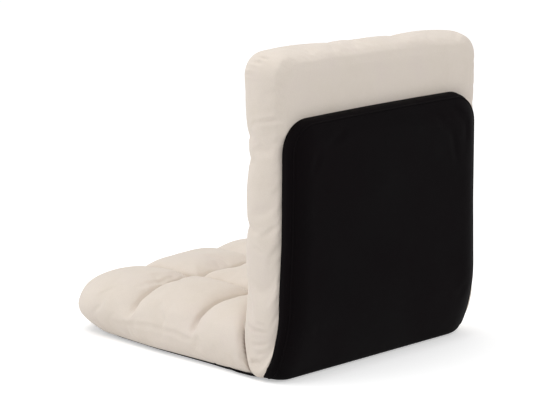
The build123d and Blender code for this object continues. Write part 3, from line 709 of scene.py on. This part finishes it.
def buildSeatPad(material):
    # the ringed pad laid flat, narrower below its front, swollen between the sewn lines and drawn in at them
    rows = np.array(seatPad["levels"])
    x, y, z, at, ring, onTop, onBottom, quads = ringedPad(
        seatPad, rows[:, (0, 1, 3)], seatLow.y + rows[:, 2], backRear,
        seatPad["frontCorner"], seatPad["rearCorner"])
    x = x * (1 - seatPad["taper"] * fade(y, seatPad["taperAlong"]) * fade(z, seatPad["taperBelow"]))
    points = np.column_stack([x, y, z])
    under = (onBottom > 0) & (ring < onFace)
    points[under, 2] = trayTop + clear
    normals = normalsOf(points, quads)
    upper = fade(at, seatPad["upper"]) * (1 - onBottom)
    rearFade = 1 - seatPad["rearShallow"] * fade(y, seatPad["rearFade"])
    deep = quiltDepth(seatPad, x, y, upper * rearFade)
    points = quilted(seatPad, points, normals, deep, onTop * (1 - ring), upper)
    hold = np.maximum(onBottom, fade(at, seatPad["heldRim"]))
    loose = 1 - seatPad["frontLoose"] * fade(y, seatPad["frontFade"])
    hold = np.maximum(hold, tuftHold(seatPad, x, y, upper, (loose, 1.0)))
    piece = makePiece("seat_pad", points, quads, material)

    def sewnPlane(spots):
        share = fade(spots[:, 2], seatPad["stitchAbove"]) * fade(np.abs(spots[:, 0]), seatPad["stitchSide"])
        return spots[:, 0], spots[:, 1], (share * fade(spots[:, 1], seatPad["stitchFront"]), share)

    finishPad(piece, seatPad, hold, sewnPlane)
    return piece


backPad = {
    "cells": (88, 92, 19),
    # distance forward of the rear face, side inset, top inset, height of the bottom
    "levels": [
        (0.0004, 0.021, 0.015, 0.09),
        (0.008, 0.009, 0.006, 0.058),
        (0.03, 0.002, 0.001, 0.016),
        (0.052, 0, 0, 0.006),
        (0.068, 0.002, 0.002, 0.014),
        (0.082, 0.009, 0.008, 0.046),
        (0.0905, 0.024, 0.021, 0.08),
        (0.0955, 0.05, 0.044, 0.114),
        (0.0985, 0.096, 0.092, 0.172),
    ],
    "topCorner": 0.036,
    "bottomCorner": 0.014,
    "slump": 0.017,  # how much lower the top is at the far side
    "slumpFade": (0.35, 0.2),
    "drawIn": 0.004,
    "sideReach": 0.112,
    "columns": (-0.088, 0.088),
    "rows": (0.262, 0.418),
    "creaseDepth": 0.012,
    "creaseWidth": 0.02,
    "tuftDepth": 0.013,
    "tuftWidth": 0.017,
    "upper": (0.05, 0.03),
    "lowShare": 0.25,  # how much of the quilting is left below lowFade
    "lowFade": (0.11, 0.06),
    "sideShallow": 0.8,
    "sideFade": (0.195, 0.045),
    "topShallow": 0.92,
    "topFade": (0.475, 0.05),
    "header": 0.0025,  # how far the rear face swells above the panel
    "headerRim": (0, 0.08),
    "headerRise": (-0.02, 0.04),
    "heldRim": (0.012, -0.01),
    "swell": 0.0055,
    "waves": (0.0012, 0.12, 9),
    "stitchDepth": 0.0045,
    "seamShade": 0.21,
    "stitchForward": (0.066, 0.02),
    "stitchAbove": (0.12, 0.05),
    "stitchTop": (0.535, -0.04),
    "stitchSide": (0.235, -0.04),
    "folds": [
        (0.0024, 0.0034, [(0.257, 0.19, 0.431), (0.259, 0.21, 0.445), (0.258, 0.231, 0.45),
                          (0.25, 0.256, 0.453)]),
        (0.0018, 0.004, [(0.257, 0.176, 0.393), (0.259, 0.195, 0.407), (0.258, 0.216, 0.415)]),
        (0.0012, 0.003, [(0.258, 0.196, 0.51), (0.258, 0.226, 0.517)]),
        (0.002, 0.0026, [(0.247, 0.205, 0.552), (0.25, 0.228, 0.553)]),
        (0.002, 0.0026, [(0.253, 0.192, 0.543), (0.256, 0.216, 0.545)]),
        (0.002, 0.0026, [(0.255, 0.184, 0.533), (0.258, 0.21, 0.536)]),
        (0.0016, 0.0026, [(0.257, 0.18, 0.523), (0.259, 0.199, 0.525)]),
        (0.0022, 0.0032, [(0.256, 0.176, 0.096), (0.259, 0.198, 0.087), (0.258, 0.24, 0.089)]),
        (0.0015, 0.003, [(0.258, 0.206, 0.101), (0.258, 0.234, 0.096)]),
        (0.0014, 0.004, [(0.258, 0.196, 0.232), (0.258, 0.226, 0.221)]),
        (0.002, 0.003, [(0.257, 0.19, 0.06), (0.258, 0.215, 0.064), (0.257, 0.238, 0.07)]),
        (0.0018, 0.0028, [(0.256, 0.204, 0.045), (0.257, 0.24, 0.056)]),
        (0.0026, 0.0028, [(0.255, 0.188, 0.029), (0.256, 0.213, 0.033)]),
        (0.0022, 0.0028, [(0.254, 0.196, 0.021), (0.255, 0.219, 0.018)]),
        (0.0022, 0.0036, [(-0.257, 0.18, 0.425), (-0.259, 0.215, 0.44), (-0.25, 0.256, 0.446)]),
        (0.002, 0.0028, [(-0.253, 0.19, 0.543), (-0.256, 0.216, 0.545)]),
        (0.0018, 0.0028, [(-0.256, 0.184, 0.53), (-0.258, 0.212, 0.534)]),
        (0.0022, 0.0034, [(-0.256, 0.178, 0.09), (-0.259, 0.205, 0.084), (-0.258, 0.24, 0.088)]),
    ],
}


def buildBackPad(material):
    # the ringed pad stood up, its levels running forward from the rear face
    rows = np.array(backPad["levels"])
    x, z, forward, at, ring, onTop, onBottom, quads = ringedPad(
        backPad, rows, rows[:, 3], backTop, backPad["bottomCorner"], backPad["topCorner"])
    points = np.column_stack([x, backRear - forward, z])
    points[:, 2] -= slump(points, backPad)
    normals = normalsOf(points, quads)
    rim = onBottom * fade(1 - ring, backPad["headerRim"])
    points[:, 1] += backPad["header"] * (rim * fade(z - panelHigh.z, backPad["headerRise"]))
    upper = fade(at, backPad["upper"]) * (1 - onBottom)
    low = backPad["lowShare"] + (1 - backPad["lowShare"]) * fade(z, backPad["lowFade"])
    # the sewn lines die out before the pad's top and sides, where its outline runs smooth
    sideFade = 1 - backPad["sideShallow"] * fade(np.abs(x), backPad["sideFade"])
    topFade = 1 - backPad["topShallow"] * fade(z, backPad["topFade"])
    deep = quiltDepth(backPad, x, z, upper * low, (topFade, sideFade))
    points = quilted(backPad, points, normals, deep, onTop * (1 - ring), 1 - onBottom)
    hold = np.maximum(onBottom, fade(at, backPad["heldRim"]))
    hold = np.maximum(hold, tuftHold(backPad, x, z, upper, (topFade, sideFade)))
    piece = makePiece("back_pad", points, quads, material)

    def sewnPlane(spots):
        share = fade(backRear - spots[:, 1], backPad["stitchForward"])
        share = share * fade(spots[:, 2], backPad["stitchAbove"])
        return spots[:, 0], spots[:, 2], (share * fade(spots[:, 2], backPad["stitchTop"]),
                                          share * fade(np.abs(spots[:, 0]), backPad["stitchSide"]))

    finishPad(piece, backPad, hold, sewnPlane)
    return piece


crease = {
    "shade": 1.0,
    "reach": 0.003,
    "touch": 0.0012,  # closer than this, the pads count as touching
    "side": 0.205,
    "front": 0.13,
    "rear": 0.215,
    "low": 0.012,
    "high": 0.092,
}


def shadeCrease(first, second):
    # where the pads meet at the sides the cloth is darker: shade * exp(-(gap/reach)^2), gap being the
    # distance to the other pad's nearest point
    both = []
    for piece in (first, second):
        points = readPoints(piece.data)
        x, y, z = points.T
        near = (np.abs(x) > crease["side"]) & (y > crease["front"]) & (y < crease["rear"])
        near &= (z > crease["low"]) & (z < crease["high"])
        both.append((points, np.flatnonzero(near)))
    (a, ai), (b, bi) = both
    squares = (a[ai] ** 2).sum(1)[:, None] + (b[bi] ** 2).sum(1)[None] - 2 * a[ai] @ b[bi].T
    gaps = np.sqrt(np.maximum(squares, 0))
    for piece, points, index, gap in ((first, a, ai, gaps.min(1)), (second, b, bi, gaps.min(0))):
        shade = np.zeros(len(points), np.float32)
        data = piece.data.attributes["seamShade"].data
        data.foreach_get("value", shade)
        dark = crease["shade"] * bell(np.maximum(gap - crease["touch"], 0), crease["reach"])
        shade[index] = np.maximum(shade[index], dark)
        data.foreach_set("value", shade)


# black cover: one cloth skin down the back, round the heel and under the seat
cover = {
    "topCorner": 0.055,
    "frontCorner": 0.098,
    "fullness": 2.2,
    "thick": 0.0016,
    "cellsAcross": 110,
    "cellsAlong": 220,
    "crowdAcross": 0.32,  # how much the rows and columns crowd towards the edges
    "crowdAlong": 0.22,
    # half widths by distance down the skin from the panel's top, the last one at the base's front
    "along": (0, 0.2, 0.3, 0.42, 0.5, 0.56, 0.62, 0.76, 0.88),
    "near": (0.247, 0.249, 0.255, 0.2575, 0.256, 0.25, 0.245, 0.2405, 0.229, 0.22),
    "far": (0.2265, 0.2265, 0.229, 0.235, 0.24, 0.243, 0.244, 0.2405, 0.229, 0.22),
    # how far in from its edge the skin takes to round over, by distance down it
    "softAt": (0, 0.3, 0.42, 0.5, 0.58),
    "soft": (0.046, 0.046, 0.048, 0.042, 0.01),
    "slump": 0.005,
    "slumpFade": (0.3, 0.15),
    # side view (y, z) of the outer face and of the edge along the pads
    "straight": 0.1,  # how far the panel runs straight down from its top
    "heelTop": 0.15,
    "heelPull": 0.098,
    "heelBend": ((0.2735, 0.048), (0.249, 0.006)),
    "footBend": ((0.247, 0.0025), (0.243, 0.0004), (0.236, 0.0004)),
    "heelEdge": ((0.256, 0.11), (0.25, 0.076), (0.242, 0.046), (0.233, 0.028)),
    "footEdge": (0.22, 0.017),
    "heelSteps": 24,
    "footSteps": 8,
    "soleY": (0.19, 0.15, 0.12),
    "soleEdge": (0.0065, 0.0045, 0.012),
    "soleZ": 0.0004,
    "frontRoom": 0.003,
    # the base's half width seen from above, by y
    "footY": (-0.262, -0.16, -0.04, 0.1),
    "footWidth": (0.22, 0.229, 0.2405, 0.245),
    "waves": (0.001, 0.16, 21),
    "sink": 0.0004,
    "looseIn": (0, 0.05),
    "looseDown": (0.4, -0.1),
    "floor": 0.0002,
    "panelMiddle": 0.2,  # distance down the skin to the middle of the panel
    "folds": [
        (0.0014, 0.006, [(-0.15, 0.288, 0.425), (-0.185, 0.288, 0.395), (-0.19, 0.288, 0.35)]),
        (0.0012, 0.006, [(-0.1, 0.288, 0.42), (-0.15, 0.288, 0.38), (-0.165, 0.288, 0.32)]),
        (0.0012, 0.007, [(0.12, 0.288, 0.425), (0.165, 0.288, 0.405)]),
        (0.001, 0.006, [(0.19, 0.285, 0.395), (0.205, 0.285, 0.36)]),
        (0.0014, 0.006, [(0.18, 0.278, 0.08), (0.205, 0.272, 0.11)]),
        (0.0012, 0.007, [(-0.18, 0.278, 0.08), (-0.205, 0.272, 0.12)]),
    ],
}


def coverSpine():
    # side view (y, z): the outer face from the panel's top to the base's front, by straight runs and
    # Bezier curves, and beside it, point for point, the cover's edge along the pads
    ends = np.array([panelHigh.z, panelHigh.z - cover["straight"]])
    start = ((faceY, cover["heelTop"]), (faceY, cover["heelPull"]))
    heel = bezier(*start, *cover["heelBend"], cover["heelSteps"])
    foot = bezier(cover["heelBend"][-1], *cover["footBend"], cover["footSteps"])[1:]
    soleY = np.array(cover["soleY"])
    outer = np.vstack([
        np.column_stack([np.full(2, faceY), ends]), heel, foot,
        np.column_stack([soleY, np.full(len(soleY), cover["soleZ"])]),
        [(baseLow.y + cover["frontRoom"], cover["soleZ"])],
    ])
    heelEdge = np.array([(backRear, cover["heelTop"]), *cover["heelEdge"]])
    marks = np.linspace(0, 1, len(heelEdge))
    share = np.linspace(0, 1, cover["heelSteps"])
    edge = np.vstack([
        np.column_stack([np.full(2, backRear), ends]),
        np.column_stack([through(marks, heelEdge[:, k], share) for k in range(2)]),
        np.linspace(heelEdge[-1], cover["footEdge"], cover["footSteps"])[1:],
        np.column_stack([soleY, cover["soleEdge"]]),
        [(baseLow.y, trayTop)],
    ])
    along = np.append(0, np.cumsum(np.linalg.norm(np.diff(outer, axis=0), axis=1)))
    return along, outer, edge


def coverWidth(v, side, length):
    # half width at v along the skin, on the near side where side is above 0 and on the far side elsewhere
    at = np.clip(v / length, 0, 1)
    marks = np.append(np.array(cover["along"]) / length, 1)
    return np.where(side > 0, np.interp(at, marks, cover["near"]), np.interp(at, marks, cover["far"]))


def coverPoint(x, v, spine):
    # the skin at x across and v along: in from its edge by d it has risen by (1-(1-d/w)^n)^(1/n)
    along, outer, edge = spine
    length = along[-1]
    wide = coverWidth(v, x, length)
    halfLong = length / 2
    p, q = x * wide, v - halfLong
    corner = np.where(q < 0, cover["topCorner"], cover["frontCorner"])
    innerP = np.clip(p, corner - wide, wide - corner)
    innerQ = np.clip(q, corner - halfLong, halfLong - corner)
    outP, outQ = p - innerP, q - innerQ
    level = np.maximum(np.abs(outP), np.abs(outQ))
    reach = np.maximum(np.hypot(outP, outQ), tiny)
    rounded = (np.abs(outP) > 0) & (np.abs(outQ) > 0)
    p = np.where(rounded, innerP + outP / reach * level, p)
    q = np.where(rounded, innerQ + outQ / reach * level, q)
    inside = np.where(rounded, corner - level, np.minimum(wide - np.abs(p), halfLong - np.abs(q)))
    w = q + halfLong
    soft = np.interp(w, cover["softAt"], cover["soft"])
    n = cover["fullness"]
    rise = (1 - np.clip(1 - inside / soft, 0, 1) ** n) ** (1 / n)
    outerY, outerZ = (np.interp(w, along, outer[:, k]) for k in range(2))
    edgeY, edgeZ = (np.interp(w, along, edge[:, k]) for k in range(2))
    points = np.stack([p, edgeY + (outerY - edgeY) * rise, edgeZ + (outerZ - edgeZ) * rise], axis=-1)
    points[:, 2] -= slump(points, cover)
    return points, inside, w


def crowded(cells, crowd):
    # steps from -1 to 1 that get shorter towards both ends: a (1 + crowd - crowd a^2)
    a = np.linspace(-1, 1, cells + 1)
    return a * (1 + crowd - crowd * a * a)


def buildCover(material):
    # the skin on a grid, with a slow swelling and pressed folds, and a wall behind it
    spine = coverSpine()
    across = crowded(cover["cellsAcross"], cover["crowdAcross"])
    along = (crowded(cover["cellsAlong"], cover["crowdAlong"]) + 1) / 2 * spine[0][-1]
    x, v = np.meshgrid(across, along, indexing="ij")
    points, inside, w = coverPoint(x.ravel(), v.ravel(), spine)
    quads = gridQuads(len(across), len(along))
    normals = normalsOf(points, quads)
    # at the middle of the panel the faces have to look to the rear
    if normals[np.argmin(np.abs(w - cover["panelMiddle"]) + np.abs(points[:, 0])), 1] < 0:
        quads = quads[:, ::-1]
        normals = -normals
    loose = fade(inside, cover["looseIn"]) * fade(w, cover["looseDown"])
    height, length, seed = cover["waves"]
    points += normals * ((height * waves(points, length, seed) - cover["sink"]) * loose)[:, None]
    points = pressLines(points, quads, cover["folds"])
    points[:, 2] = np.maximum(points[:, 2], cover["floor"])
    piece = makePiece("black_cover", points, quads, material)
    thicken(piece, cover["thick"], -1)
    return piece


piping = {
    "inset": 0.008,  # how far in from the skin's edge it is sewn
    "radius": 0.0016,
    "sides": 8,
    "spacing": 0.004,
    "stop": 0.47,  # how far down the skin it runs
    "turnSteps": 10,
    "topSteps": 150,
    "closest": 0.0008,
    "smoothing": 3,
    "sideFrom": 0.95,  # further across than this, it keeps its distance from the edge
    "middle": (0, 0.15, 0.25),  # a place inside the chair
}


def tube(path, radius, sides):
    # round section carried along a path: at each point a circle square to the path's run there, started
    # square to the line to the chair's middle; each end is closed by strips of quads
    run = np.gradient(path, axis=0)
    run /= np.linalg.norm(run, axis=1, keepdims=True)
    first = np.cross(run, np.array(piping["middle"]) - path)
    first /= np.linalg.norm(first, axis=1, keepdims=True)
    second = np.cross(run, first)
    turn = np.linspace(0, 2 * math.pi, sides, endpoint=False)[None, :, None]
    rings = path[:, None] + radius * (np.cos(turn) * first[:, None] + np.sin(turn) * second[:, None])
    i, j = np.meshgrid(np.arange(len(path) - 1) * sides, np.arange(sides), indexing="ij")
    k = (j + 1) % sides
    wall = np.stack([i + j, i + k, i + sides + k, i + sides + j], axis=-1).reshape(-1, 4)
    m = np.arange(sides // 2 - 1)
    cap = np.column_stack([m, m + 1, sides - 2 - m, sides - 1 - m])
    return rings.reshape(-1, 3), np.vstack([wall, cap[:, ::-1], cap + (len(path) - 1) * sides])


def seamPath(spine):
    # the line on the skin a fixed distance in from its edge: up one side, over the top and down the other
    inset, steps = piping["inset"], piping["topSteps"]
    side = np.arange(piping["stop"], inset, -piping["spacing"])
    turn = np.linspace(side[-1], inset, piping["turnSteps"])[1:]
    top = np.linspace(1, -1, steps) * (1 - inset / cover["near"][0])
    v = np.concatenate([side, turn, np.full(steps, inset), turn[::-1], side[::-1]])
    rise = len(side) + len(turn)
    x = np.concatenate([np.full(rise, top[0]), top, np.full(rise, top[-1])])
    x = np.where(np.abs(x) > piping["sideFrom"], np.sign(x) * (1 - inset / coverWidth(v, x, spine[0][-1])), x)
    path, _, _ = coverPoint(x, v, spine)
    # points too close together are dropped, then the line is smoothed a little
    step = np.linalg.norm(np.diff(path, axis=0), axis=1)
    path = path[np.append(True, step > piping["closest"])]
    for _ in range(piping["smoothing"]):
        path[1:-1] = (path[:-2] + 2 * path[1:-1] + path[2:]) / 4
    return path


def buildPiping(material):
    # a tube along the panel's seam
    points, quads = tube(seamPath(coverSpine()), piping["radius"], piping["sides"])
    return makePiece("panel_piping", points, quads, material)


# lining down in the crease between the pads; its side view (y, z) goes down the seat pad's rear end and
# up the back pad's front
lining = {
    "halfWidth": 0.2435,
    "thick": 0.0012,
    "down": ((0.15, 0.078), (0.166, 0.06), (0.172, 0.04), (0.176, 0.036)),
    "up": ((0.176, 0.036), (0.178, 0.04), (0.17, 0.062), (0.163, 0.09)),
    "steps": 14,
    "columns": 41,
}


def buildLining(material):
    # two Bezier curves that meet at the bottom, carried straight across the chair
    side = np.vstack([bezier(*lining["down"], lining["steps"]), bezier(*lining["up"], lining["steps"])[1:]])
    x = np.linspace(-lining["halfWidth"], lining["halfWidth"], lining["columns"])
    across, k = np.meshgrid(x, np.arange(len(side)), indexing="ij")
    points = np.column_stack([across.ravel(), side[k.ravel()]])
    piece = makePiece("crease_lining", points, gridQuads(len(x), len(side)), material)
    thicken(piece, lining["thick"], 0)
    return piece


creamMat = creamCloth()
blackMat = blackCloth()
pipingMat = blackCloth("blackPiping", black["pipingShine"])

print("inner parts")
dressInnerParts()
print("seat pad")
seatPiece = buildSeatPad(creamMat)
print("back pad")
backPiece = buildBackPad(creamMat)
shadeCrease(seatPiece, backPiece)
print("black cover")
coverPiece = buildCover(blackMat)
print("panel piping")
pipingPiece = buildPiping(pipingMat)
print("crease lining")
liningPiece = buildLining(creamMat)

for piece, half, slotName in ((seatPiece, padBend, "cream_cloth"), (backPiece, padBend, "cream_cloth"),
                              (liningPiece, padBend, "cream_cloth"), (coverPiece, skinBend, "black_cloth"),
                              (pipingPiece, skinBend, "black_piping")):
    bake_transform(piece)
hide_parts("seat_cushion", "seat_foam")
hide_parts("back_cushion", "back_foam")
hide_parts("back_panel_cover", "back_panel_foam", "heel_cover", "seat_base_cover",
            "seat_base_foam")
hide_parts("back_panel_piping")
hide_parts("crease_gusset")

camera = {
    "place": (3.916, 3.762, 1.44),
    "yaw": 46.17,
    "pitch": 12.57,
    "lens": 205.0,
    "sensor": 36,
    "sight": 60,
}


def buildCamera():
    # the photograph's viewing angle: yaw turned from the rear, pitch looking down
    data = bpy.data.cameras.new("camera")
    data.lens = camera["lens"]
    data.sensor_width = camera["sensor"]
    data.clip_end = camera["sight"]
    obj = bpy.data.objects.new("camera", data)
    scene.collection.objects.link(obj)
    yaw, pitch = math.radians(camera["yaw"]), math.radians(camera["pitch"])
    ahead = Vector((-math.sin(yaw) * math.cos(pitch), -math.cos(yaw) * math.cos(pitch), -math.sin(pitch)))
    obj.location = camera["place"]
    obj.rotation_euler = ahead.to_track_quat("-Z", "Y").to_euler()
    scene.camera = obj


lights = {
    # place, size, power
    "key": ((0.9, -0.3, 3.2), 2.6, 38),
    "left": ((2.8, -1.6, 1.6), 2.2, 17),
    "rear": ((-0.8, 3.4, 2.2), 2.6, 20),
}
lightsAim = (0, 0, 0.25)
world = {"fill": 0.64, "backdrop": 1.0}


def seenDirectly(nodes, links):
    # 1 for what the camera sees, straight, in a reflection or through glass
    path = nodes.new("ShaderNodeLightPath")
    seen = maths(nodes, links, "MAXIMUM", path.outputs["Is Camera Ray"], path.outputs["Is Glossy Ray"])
    return maths(nodes, links, "MAXIMUM", seen, path.outputs["Is Transmission Ray"])


def buildLights():
    # three soft panels aimed at the chair, and an even world that shows white behind it
    for name, (place, size, power) in lights.items():
        data = bpy.data.lights.new(name, "AREA")
        data.size = size
        data.energy = power
        obj = bpy.data.objects.new(name, data)
        obj.location = place
        obj.rotation_euler = (Vector(lightsAim) - Vector(place)).to_track_quat("-Z", "Y").to_euler()
        scene.collection.objects.link(obj)
    sky = bpy.data.worlds.new("studio")
    sky.use_nodes = True
    scene.world = sky
    nodes, links = sky.node_tree.nodes, sky.node_tree.links
    back = nodes["Background"]
    back.inputs["Color"].default_value = (1, 1, 1, 1)
    seen = seenDirectly(nodes, links)
    links.new(mapRange(nodes, links, seen, 0, 1, world["fill"], world["backdrop"]), back.inputs["Strength"])


ground = {
    "size": 14,
    "height": -0.0004,
    "dark": (0.86, 0.86, 0.86),
    "light": (0.88, 0.88, 0.88),
    "patchScale": 3,
    "roughness": 0.9,
    "specular": 0.1,
    "glow": 0.42,  # lifts what the camera sees to white, and keeps the shadow
}


def buildFloor():
    # one large pale sheet just under the chair
    mat, nodes, links, shader = newMaterial("paleFloor")
    spot = objectSpot(nodes)
    speck = noise(nodes, links, spot, ground["patchScale"], 2)
    links.new(ramp(nodes, links, speck, [(0.3, ground["dark"]), (0.7, ground["light"])]),
              shader.inputs["Base Color"])
    shader.inputs["Roughness"].default_value = ground["roughness"]
    shader.inputs["Specular IOR Level"].default_value = ground["specular"]
    glow = nodes.new("ShaderNodeEmission")
    seen = seenDirectly(nodes, links)
    links.new(mapRange(nodes, links, seen, 0, 1, 0, ground["glow"]), glow.inputs["Strength"])
    both = nodes.new("ShaderNodeAddShader")
    links.new(shader.outputs[0], both.inputs[0])
    links.new(glow.outputs[0], both.inputs[1])
    links.new(both.outputs[0], nodes["Material Output"].inputs["Surface"])
    corners = np.array([(-1, -1, 0), (1, -1, 0), (1, 1, 0), (-1, 1, 0)]) * ground["size"]
    corners = corners + (0, 0, ground["height"])
    floor = makePiece("floor", corners, np.array([[0, 1, 2, 3]]), mat)


print("camera, lights and floor")
buildCamera()
buildLights()
buildFloor()
scene.view_settings.view_transform = "Standard"
